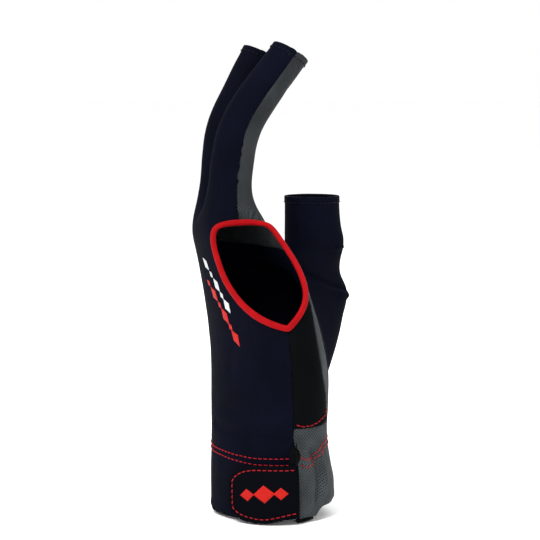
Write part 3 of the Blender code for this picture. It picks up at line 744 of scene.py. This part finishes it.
def pixel_hits(surface, line):
    """Hits along a line of the photograph's pixels."""
    pixels = np.array(line, float)
    run = np.arange(len(pixels))
    steps = np.linspace(0, len(pixels) - 1, PIXEL_STEPS * len(pixels))
    across = np.interp(steps, run, pixels[:, 0])
    down = np.interp(steps, run, pixels[:, 1])
    return [under_pixel(surface, float(x), float(y)) for x, y in zip(across, down)]


# Angles round the hand in the tables below count up from this one
FIRST_TURN = 120

# How the worn cuff stands off the wrist, in millimetres, by angle; it fades between two heights
CUFF_FLARE = [(120, 0.0), (165, 0.9), (200, 0.9), (235, 0.0), (295, 0.0), (318, 1.2), (345, 1.2),
              (400, 0.0), (480, 0.0)]
CUFF_FLARE_HEIGHTS = (7.8, 39.0)

# How far the palm side's hem is drawn up, in millimetres, by angle, and the height where it ends
HEM_RISE = [(120, 0.0), (286.5, 0.0), (291.5, 2.3), (298, 3.9), (303.5, 4.5), (311, 5.0),
            (326, 5.8), (370, 5.8), (440, 0.0), (480, 0.0)]
HEM_RISE_TOP = 20.0

# How the worn tab differs from the flat one: its round end reaches on by some degrees, its top
# and the foot of its slit end are drawn up by some millimetres
TAB_REACH_ON = 2.4
TAB_TOP_RISE = 1.7
TAB_FOOT_RISE = 2.6

# Where these begin and end: angles round the wrist and heights in millimetres
TAB_REACH_TURNS = (206, 235)
TAB_TOP_TURNS, TAB_TOP_HEIGHTS, TAB_TIP_SHARE = (206, 222), (6, 18), 0.4
TAB_FOOT_TURNS, TAB_FOOT_HEIGHTS = (232, 263), (0, 14)

# Closure tab, as in the CAD: angles round the wrist, its mean radius and heights in millimetres
TAB_START, TAB_END, TAB_RADIUS = 263.5, 206.0, 26.9
TAB_FOOT, TAB_HEIGHT, TAB_ROUND = -1.5, 22.5, 12.5
TAB_BLUNTNESS = 0.45
TAB_RUN = radians(TAB_START - TAB_END) * TAB_RADIUS
TAB_MIDDLE = (235, 10)

# The tab's stitches: margin and start in millimetres, steps along it, their ease, steps down
TAB_STITCH_MARGIN, TAB_STITCH_START = 1.7, 0.8
TAB_STEPS, TAB_STEP_EASE, TAB_TIP_STEPS = 60, 1.8, 12


def tab_half(place, margin):
    """Half the tab's height at a place along it, drawn in by a margin."""
    half = TAB_HEIGHT / 2 - margin
    to_end = TAB_RUN - margin - place
    round_end = TAB_ROUND - margin
    if to_end < round_end:
        bend = min(1 - to_end / round_end, 1.0)
        half *= TAB_BLUNTNESS + (1 - TAB_BLUNTNESS) * sqrt(max(1 - bend * bend, 0.0))
    return half


def tab_border(margin):
    """The line of stitches round the worn tab, from its slit end over the round end and back."""
    middle = TAB_FOOT + TAB_HEIGHT / 2
    reach = TAB_RUN - margin
    shares = [1 - (1 - step / TAB_STEPS) ** TAB_STEP_EASE for step in range(TAB_STEPS + 1)]
    upper = [TAB_STITCH_START + (reach - TAB_STITCH_START) * share for share in shares]
    line = [(place, middle + tab_half(place, margin)) for place in upper]
    tip = tab_half(reach, margin)
    line += [
        (reach, middle + tip * (1 - 2 * step / TAB_TIP_STEPS)) for step in range(1, TAB_TIP_STEPS)
    ]
    line += [(place, middle - tab_half(place, margin)) for place in reversed(upper)]
    return [
        worn_tab(TAB_START - (TAB_START - TAB_END) * place / TAB_RUN, height)
        for place, height in line
    ]


def worn_tab(turn, height):
    """Where a place on the flat tab, an angle and a height in millimetres, lies on the worn one."""
    reach = TAB_REACH_ON * (1 - smooth_share(turn, *TAB_REACH_TURNS))
    beside_tip = TAB_TIP_SHARE + (1 - TAB_TIP_SHARE) * smooth_share(turn, *TAB_TOP_TURNS)
    top = TAB_TOP_RISE * smooth_share(height, *TAB_TOP_HEIGHTS) * beside_tip
    at_slit = smooth_share(turn, *TAB_FOOT_TURNS)
    foot = TAB_FOOT_RISE * at_slit * (1 - smooth_share(height, *TAB_FOOT_HEIGHTS))
    return turn - reach, height + top + foot


def round_hand(places):
    """Each place as an angle from FIRST_TURN on and a share of the hand's section."""
    shift, half_thickness, half_breadth = form_at(places[:, 2])
    out = (places[:, 0] - shift) / half_thickness
    aside = places[:, 1] / half_breadth
    turn = (np.degrees(np.arctan2(aside, out)) - FIRST_TURN) % 360 + FIRST_TURN
    return turn, np.hypot(out, aside), shift, half_thickness, half_breadth


def cuff_relief(places):
    """The cuff flares where it is not pulled tight."""
    turn = round_hand(places)[0]
    low = 1 - smooth_share(places[:, 2] / MM, *CUFF_FLARE_HEIGHTS)
    return read_table(CUFF_FLARE, turn) * MM * low


def raise_hem(piece):
    """Draw up the palm side's hem, and less and less of the cloth above it."""
    places = corner_places(piece)
    rise = read_table(HEM_RISE, round_hand(places)[0]) * MM
    places[:, 2] += rise * (1 - smooth_share(places[:, 2], 0.0, HEM_RISE_TOP * MM))
    set_corner_places(piece, places)


def fit_tab(piece):
    """Lay the tab or its hook patch as it is worn."""
    places = corner_places(piece)
    turn, share, shift, half_thickness, half_breadth = round_hand(places)
    turn, height = worn_tab(turn, places[:, 2] / MM)
    places[:, 0] = shift + half_thickness * share * np.cos(np.radians(turn))
    places[:, 1] = half_breadth * share * np.sin(np.radians(turn))
    places[:, 2] = height * MM
    set_corner_places(piece, places)


def below_mouth(places, mouth):
    """How far each place is under a stall's mouth, where it belongs to that stall."""
    middle, lean, radius = MOUTHS[mouth]
    upward = np.array([sin(radians(lean)), 0.0, cos(radians(lean))])
    offset = places - np.array(middle) * MM
    depth = -(offset @ upward)
    beside = np.linalg.norm(offset + depth[:, None] * upward, axis=1)
    return np.where(beside < radius * MOUTH_REACH * MM, depth, 1.0)


def hem_relief(places):
    """The turned hems stand a little proud, and their stitching draws the cloth in."""
    relief = WRIST_HEM_RELIEF * smooth_share(places[:, 2] / MM, *WRIST_HEM_FADE)
    for mouth in MOUTHS:
        depth = below_mouth(places, mouth) / MM
        valley = np.exp(-((depth - HEM_BAND) / HEM_VALLEY[1]) ** 2)
        relief += HEM_RELIEF * smooth_share(depth, *HEM_FADE) - HEM_VALLEY[0] * valley
    return relief * MM


def cloth_noise(places):
    """Soft unevenness of worn cloth: long shallow waves, livelier on the cuff."""
    relief = np.empty(len(places))
    for index, (x, y, z) in enumerate(places):
        cuff = 1.0 - min(max((z / MM - CUFF_NOISE_TOP) / CUFF_NOISE_FADE, 0.0), 1.0)
        slow = noise.noise(Vector((x, y, z * 0.45)) / (SLOW_WAVE[0] * MM))
        ripples = noise.noise(Vector((x * 1.1, y * 1.1, z * 0.35 + 0.5)) / (RIPPLE[0] * MM))
        cross = noise.noise(Vector((x * 0.4, y * 0.4, z * 1.5 + 2.0)) / (CROSS_FOLD[0] * MM))
        relief[index] = (
            (SLOW_WAVE[1] + CUFF_SLOW * cuff) * slow + (RIPPLE[1] + CUFF_RIPPLE * cuff) * ripples
            + CROSS_FOLD[1] * cross
        )
    return relief * MM


def press_line(places, line, depth, width):
    """A groove along a line, depth and width in millimetres; a negative depth is a ridge."""
    if not len(line):
        return np.zeros(len(places))
    tree = nearest_tree(line)
    gap = np.array([tree.find(place)[2] for place in places])
    return -depth * MM * np.exp(-(gap / (width * MM)) ** 2)


def shape_cloth(piece, guide, grooves=None):
    """Move every corner along the cloth's normal: trims with the cloth under them, and panels
    also by their hems and grooves."""
    places = corner_places(piece)
    hits = [guide.find_nearest(Vector(place)) for place in places]
    near = np.array([hit[0] for hit in hits])
    normals = np.array([hit[1] for hit in hits])
    relief = cloth_noise(near) + cuff_relief(near)
    if grooves:
        relief += hem_relief(near)
        for line, depth, width in grooves:
            relief += press_line(near, line, depth, width)
    set_corner_places(piece, places + normals * relief[:, None])


def thread_model(radius, steps, start=(0, 0, 0), turn=0.0, taper=1.0):
    """A bent length of thread, closed at both ends: its steps go across and up in millimetres."""
    bpy.ops.mesh.primitive_circle_add(
        vertices=THREAD_SIDES, radius=radius * MM, fill_type="NGON",
        location=Vector(start) * MM, rotation=(0, turn, 0))
    thread = bpy.context.object
    edit_all()
    for across, rise in steps:
        bpy.ops.mesh.extrude_region_move(
            TRANSFORM_OT_translate={"value": (across * MM, 0, rise * MM)})
        if taper < 1.0:
            bpy.ops.transform.resize(value=(taper, taper, taper))
    bpy.ops.mesh.select_all(action="SELECT")
    bpy.ops.mesh.normals_make_consistent(inside=False)
    bpy.ops.object.mode_set(mode="OBJECT")
    bpy.ops.object.transform_apply(location=True, rotation=True, scale=True)
    return thread


def frame_matrix(place, normal, along, size=1.0):
    """A matrix that lays X along a line and Z off the cloth at a place."""
    side = normal.cross(along).normalized()
    forward = side.cross(normal).normalized()
    turn = Matrix((forward, side, normal)).transposed().to_4x4()
    return Matrix.Translation(place) @ turn @ Matrix.Scale(size, 4)


def piece_from(mesh, name, material):
    """A smooth piece made of an edit mesh."""
    data = bpy.data.meshes.new(name)
    mesh.to_mesh(data)
    mesh.free()
    data.shade_smooth()
    data.materials.append(material)
    return add_object(name, data)


def copies_joined(model, name, matrices, material):
    """Copies of a model at each matrix, as one piece."""
    mesh = bmesh.new()
    for matrix in matrices:
        copy = model.data.copy()
        copy.transform(matrix)
        mesh.from_mesh(copy)
        bpy.data.meshes.remove(copy)
    return piece_from(mesh, name, material)


def finish_piece(piece, slot, *nodes):
    """The piece rides on the glove and stands for its CAD nodes, which are hidden. The slot is not
    used.
    """
    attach(piece, "root")
    if nodes:
        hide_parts(*nodes)


def sew(stitch, name, hits, material, pitch=STITCH_PITCH, size=1.0):
    """A row of stitches along a line of hits on the cloth."""
    matrices = [
        frame_matrix(place + normal * STITCH_LIFT * MM, normal, along, size)
        for place, normal, along in even_steps(hits, pitch * MM)
    ]
    finish_piece(copies_joined(stitch, name, matrices, material), "stitching")


def diamond_model():
    """A flat printed diamond one unit long and wide, in small cells so that it can lie on cloth."""
    bpy.ops.mesh.primitive_grid_add(
        x_subdivisions=MARK_CELLS, y_subdivisions=MARK_CELLS, size=1.0, location=(0, 0, 0))
    diamond = bpy.context.object
    edit_all()
    bpy.ops.transform.rotate(value=pi / 4, orient_axis="Z", center_override=(0, 0, 0))
    bpy.ops.transform.resize(
        value=(SQUARE_TO_DIAMOND, SQUARE_TO_DIAMOND, 1.0), center_override=(0, 0, 0))
    bpy.ops.object.mode_set(mode="OBJECT")
    return diamond


def print_on_cloth(model, name, surface, marks, material):
    """Printed marks laid on the cloth: each a place, a normal, a direction, a length and width."""
    pieces = bmesh.new()
    for place, normal, along, length, width in marks:
        matrix = frame_matrix(place, normal, along)
        corners = []
        for vertex in model.data.vertices:
            flat = matrix @ Vector((vertex.co.x * length * MM, vertex.co.y * width * MM, 0.0))
            hit, lifted, _, _ = surface.ray_cast(flat + normal * PRINT_DROP * MM, -normal)
            if hit is None:
                hit, lifted = flat, normal
            corners.append(pieces.verts.new(hit + lifted * PRINT_LIFT * MM))
        for face in model.data.polygons:
            pieces.faces.new([corners[index] for index in face.vertices])
    piece = piece_from(pieces, name, material)
    only(piece)
    film = piece.modifiers.new("film", "SOLIDIFY")
    film.thickness = PRINT_FILM * MM
    film.offset = -1.0
    bpy.ops.object.modifier_apply(modifier=film.name)
    piece.data.shade_smooth()
    finish_piece(piece, "print")


def marks_between(surface, first, last, count, sizes):
    """Marks at even steps between two pixels, lined up with the line between them."""
    marks = []
    way = np.subtract(last, first)
    for step in range(count):
        pixel = first + way * (step / (count - 1))
        hit = under_pixel(surface, *pixel)
        onward = under_pixel(surface, *(pixel + way * MARK_LOOK_ON))
        if hit and onward:
            length, width = sizes[step % len(sizes)]
            marks.append((hit[0], hit[1], (onward[0] - hit[0]).normalized(), length, width))
    return marks


def dress(piece, sharpness, levels, material):
    """Round a piece of cloth, with its cut edges held, and give it its material."""
    if sharpness:
        crease_edges(piece, sharpness)
    apply_subdivision(piece, levels)
    piece.data.materials.append(material)


def dress_panels():
    """The five cloth panels, rounded from their CAD solids, and places along their seams."""
    materials = {"back_panel": NAVY, "palm_mesh": WRIST_MESH, "heel_patch": HEEL_BLACK,
                 "thumb_panel": NAVY, "finger_mesh": SHADED_FINGER_MESH}
    cloths = {node: merged_copy(node, node + "_cloth") for node in materials}
    seams = close_seams(cloths)
    tuck_into_binding(cloths)
    for node, piece in cloths.items():
        levels = FINE_ROUNDING if node == "thumb_panel" else ROUNDING
        dress(piece, PANEL_SHARPNESS, levels, materials[node])
    return cloths, seams


def dress_trim():
    """Binding, tab, hook patch and tapes, rounded from their CAD solids."""
    trims = {}
    for node, sharpness, levels, material in [
        ("opening_binding", 0.0, ROUNDING, BINDING_RED),
        ("closure_tab", 0.72, FINE_ROUNDING, TAB_CLOTH),
        ("hook_pad", 0.7, ROUNDING, HOOKS),
        ("slit_tape", 0.3, ROUNDING, BLACK_TAPE),
        ("hem_tape", 0.3, ROUNDING, BLACK_TAPE),
    ]:
        trims[node] = merged_copy(node, node + "_cloth")
        dress(trims[node], sharpness, levels, material)
    return trims


def slit_bulge(surface):
    """The thick folded end of the tape where the wrist slit stops."""
    place, normal = under_pixel(surface, *SLIT_FOLD_PIXEL)
    bpy.ops.mesh.primitive_uv_sphere_add(
        segments=28, ring_count=22, radius=1.0, location=(0, 0, 0))
    bulge = bpy.context.object
    edit_all()
    bpy.ops.transform.resize(value=FOLD_HALF_SIZES, center_override=(0, 0, 0))
    bpy.ops.object.mode_set(mode="OBJECT")
    for vertex in bulge.data.vertices:
        x, y, z = vertex.co
        uneven = noise.noise(Vector((x, y, z * 0.5)) * 0.9)
        pleat = FOLD_PLEATS * sin(y * 3.4 + z * 0.55) + FOLD_NOISE * uneven
        sway = FOLD_SWAY * sin(z * 0.62 + 0.4)
        vertex.co = Vector((x * (1 + pleat), y * (1 + 0.3 * pleat) + sway, z)) * MM
    side = normal.cross(Vector((0, 0, 1))).normalized()
    turn = Matrix((normal, -side, Vector((0, 0, 1)))).transposed().to_4x4()
    bulge.data.transform(Matrix.Translation(place + normal * FOLD_LIFT * MM) @ turn)
    bulge.name = "slit_fold"
    apply_subdivision(bulge, 1)
    bulge.data.shade_smooth()
    bulge.data.materials.append(BLACK_TAPE)
    finish_piece(bulge, "slit_tape")


def fold_tape_away(piece, shown, narrowed=0.0):
    """Draw a tape in toward its first edge, to the share that shows; narrower at some heights."""
    places = corner_places(piece)
    edge = places[:, 0].min()
    share = shown * (1 - narrowed * smooth_share(places[:, 2] / MM, *SLIT_TAPE_HEIGHTS))
    places[:, 0] = edge + (places[:, 0] - edge) * share
    set_corner_places(piece, places)


def tie_tuft(loose_end, name, hit, way, material):
    """A small bundle of cut thread ends at a place on the cloth."""
    root, normal = hit
    ends = []
    for turn in TUFT_TURNS:
        lean = (way + TUFT_SPREAD * turn).normalized()
        start = root + Vector((turn * TUFT_WIDTH, 0.0, 0.0)) * MM + normal * TUFT_LIFT * MM
        across = Vector((turn, 1.0, 0.3)).normalized()
        ends.append(frame_matrix(start, lean, across, TUFT_SIZE))
    finish_piece(copies_joined(loose_end, name, ends, material), "stitching")


def build_glove():
    cloths, seams = dress_panels()
    trims = dress_trim()
    fit_tab(trims["closure_tab"])
    fit_tab(trims["hook_pad"])
    guide = surface_of(cloths.values(), outer=True)
    smooth = surface_of([*cloths.values(), trims["closure_tab"]])
    bare = surface_of(cloths.values())
    stitch_line = tab_border(TAB_STITCH_MARGIN)
    tab_line = dense_line([on_hand(smooth, angle, height) for angle, height in stitch_line])
    lines = [(spline_hits(bare, rows, VALLEY_STEPS), *CUFF_VALLEY) for rows in CUFF_ROWS.values()]
    lines.append((pixel_hits(bare, PATCH_ROW), *PATCH_VALLEY))
    lines += [(pixel_hits(bare, line), depth, width) for depth, width, line in CREASES.values()]
    grooves = [(dense_line(hits), depth, width) for hits, depth, width in lines]
    grooves.append((seams, *SEAM_VALLEY))
    fold_tape_away(trims["slit_tape"], SLIT_TAPE_SHOWN, SLIT_TAPE_NARROWED)
    fold_tape_away(trims["hem_tape"], HEM_TAPE_SHOWN)
    for piece in cloths.values():
        shape_cloth(piece, guide, grooves)
    for piece in trims.values():
        shape_cloth(piece, guide)
    tab = trims["closure_tab"]
    places = corner_places(tab)
    outward = np.array([on_hand(smooth, *TAB_MIDDLE)[1]])
    set_corner_places(tab, places + outward * press_line(places, tab_line, *TAB_VALLEY)[:, None])

    raise_hem(cloths["palm_mesh"])
    for node, piece in [*cloths.items(), *trims.items()]:
        lay_out_cloth(piece, node)
        piece.data.shade_smooth()
        finish_piece(piece, node, node)

    worn = surface_of(cloths.values())
    dressed = surface_of([*cloths.values(), trims["closure_tab"]])
    steps = [(run * STITCH_LENGTH, rise) for run, rise in STITCH_STEPS]
    stitch = thread_model(THREAD / 2, steps, (-STITCH_LENGTH / 2, 0, -STITCH_SUNK), pi / 2)
    for name, rows in CUFF_ROWS.items():
        sew(stitch, name, spline_hits(worn, rows, ROW_STEPS), RED_THREAD)
    sew(stitch, "patch_stitches", pixel_hits(worn, PATCH_ROW), RED_THREAD)
    border = [on_hand(dressed, angle, height) for angle, height in stitch_line]
    sew(stitch, "tab_stitches", border, RED_THREAD)
    for mouth in MOUTHS:
        hem = [on_mouth(worn, mouth, angle, HEM_BAND) for angle in range(0, 361, MOUTH_STEP)]
        name = mouth + "_hem_stitches"
        sew(stitch, name, hem, NAVY_THREAD, HEM_STITCH_PITCH, HEM_STITCH_SIZE)
    bpy.data.objects.remove(stitch)

    diamond = diamond_model()
    for name, surface, marks, material in [
        ("back_print_white", worn, WHITE_MARKS, WHITE_PRINT),
        ("back_print_red", worn, RED_MARKS, RED_PRINT),
        ("tab_print", dressed, TAB_MARKS, RED_PRINT),
    ]:
        print_on_cloth(diamond, name, surface, marks_between(surface, *marks), material)
    bpy.data.objects.remove(diamond)

    slit_bulge(worn)
    loose_end = thread_model(END_RADIUS, END_STEPS, taper=END_TAPER)
    trimmed = surface_of([*cloths.values(), *trims.values()])
    for name, pixel, way, material in [
        ("seam_tuft", SEAM_NOTCH_PIXEL, Vector((0.75, -0.1, 0.8)), NAVY_THREAD),
        ("slit_tuft", SLIT_END_PIXEL, Vector((-0.35, -0.5, -0.55)), BLACK_TAPE),
    ]:
        tie_tuft(loose_end, name, under_pixel(trimmed, *pixel), way, material)
    bpy.data.objects.remove(loose_end)


def build_studio():
    """A wide floor of white paper in a white room, soft lights and the camera."""
    bpy.ops.mesh.primitive_circle_add(
        vertices=FLOOR_SIDES, radius=FLOOR_RADIUS, fill_type="NGON",
        location=(0, 0, FLOOR_HEIGHT * MM))
    floor = bpy.context.object
    floor.name = "paper_floor"
    edit_all()
    bpy.ops.mesh.inset(thickness=FLOOR_RADIUS * FLOOR_INSET, depth=0.0)
    bpy.ops.object.mode_set(mode="OBJECT")
    bpy.ops.object.transform_apply(location=True, rotation=True, scale=True)
    floor.data.materials.append(studio_paper("white_background_paper"))
    back = camera_axes()[0]

    for name, place, size, power in SOFTBOXES:
        light = bpy.data.lights.new(name, "AREA")
        light.size = size
        light.energy = power
        lamp = add_object(name, light)
        lamp.location = place
        aim = LIT_PLACE - Vector(place)
        lamp.rotation_euler = aim.to_track_quat("-Z", "Y").to_euler()

    world = bpy.data.worlds.new("white_room")
    world.use_nodes = True
    glow = world.node_tree.nodes["Background"].inputs
    glow["Color"].default_value = (1.0, 1.0, 1.0, 1.0)
    glow["Strength"].default_value = 1.0
    bpy.context.scene.world = world
    bpy.context.scene.view_settings.view_transform = "Standard"

    camera = add_object("camera", bpy.data.cameras.new("camera"))
    camera.data.lens = CAMERA_LENS
    camera.data.sensor_width = SENSOR
    camera.data.clip_start = CLIP_START
    camera.location = CAMERA_TARGET + back * CAMERA_DISTANCE
    camera.rotation_euler = (-back).to_track_quat("-Z", "Y").to_euler()
    bpy.context.scene.camera = camera


build_glove()
build_studio()
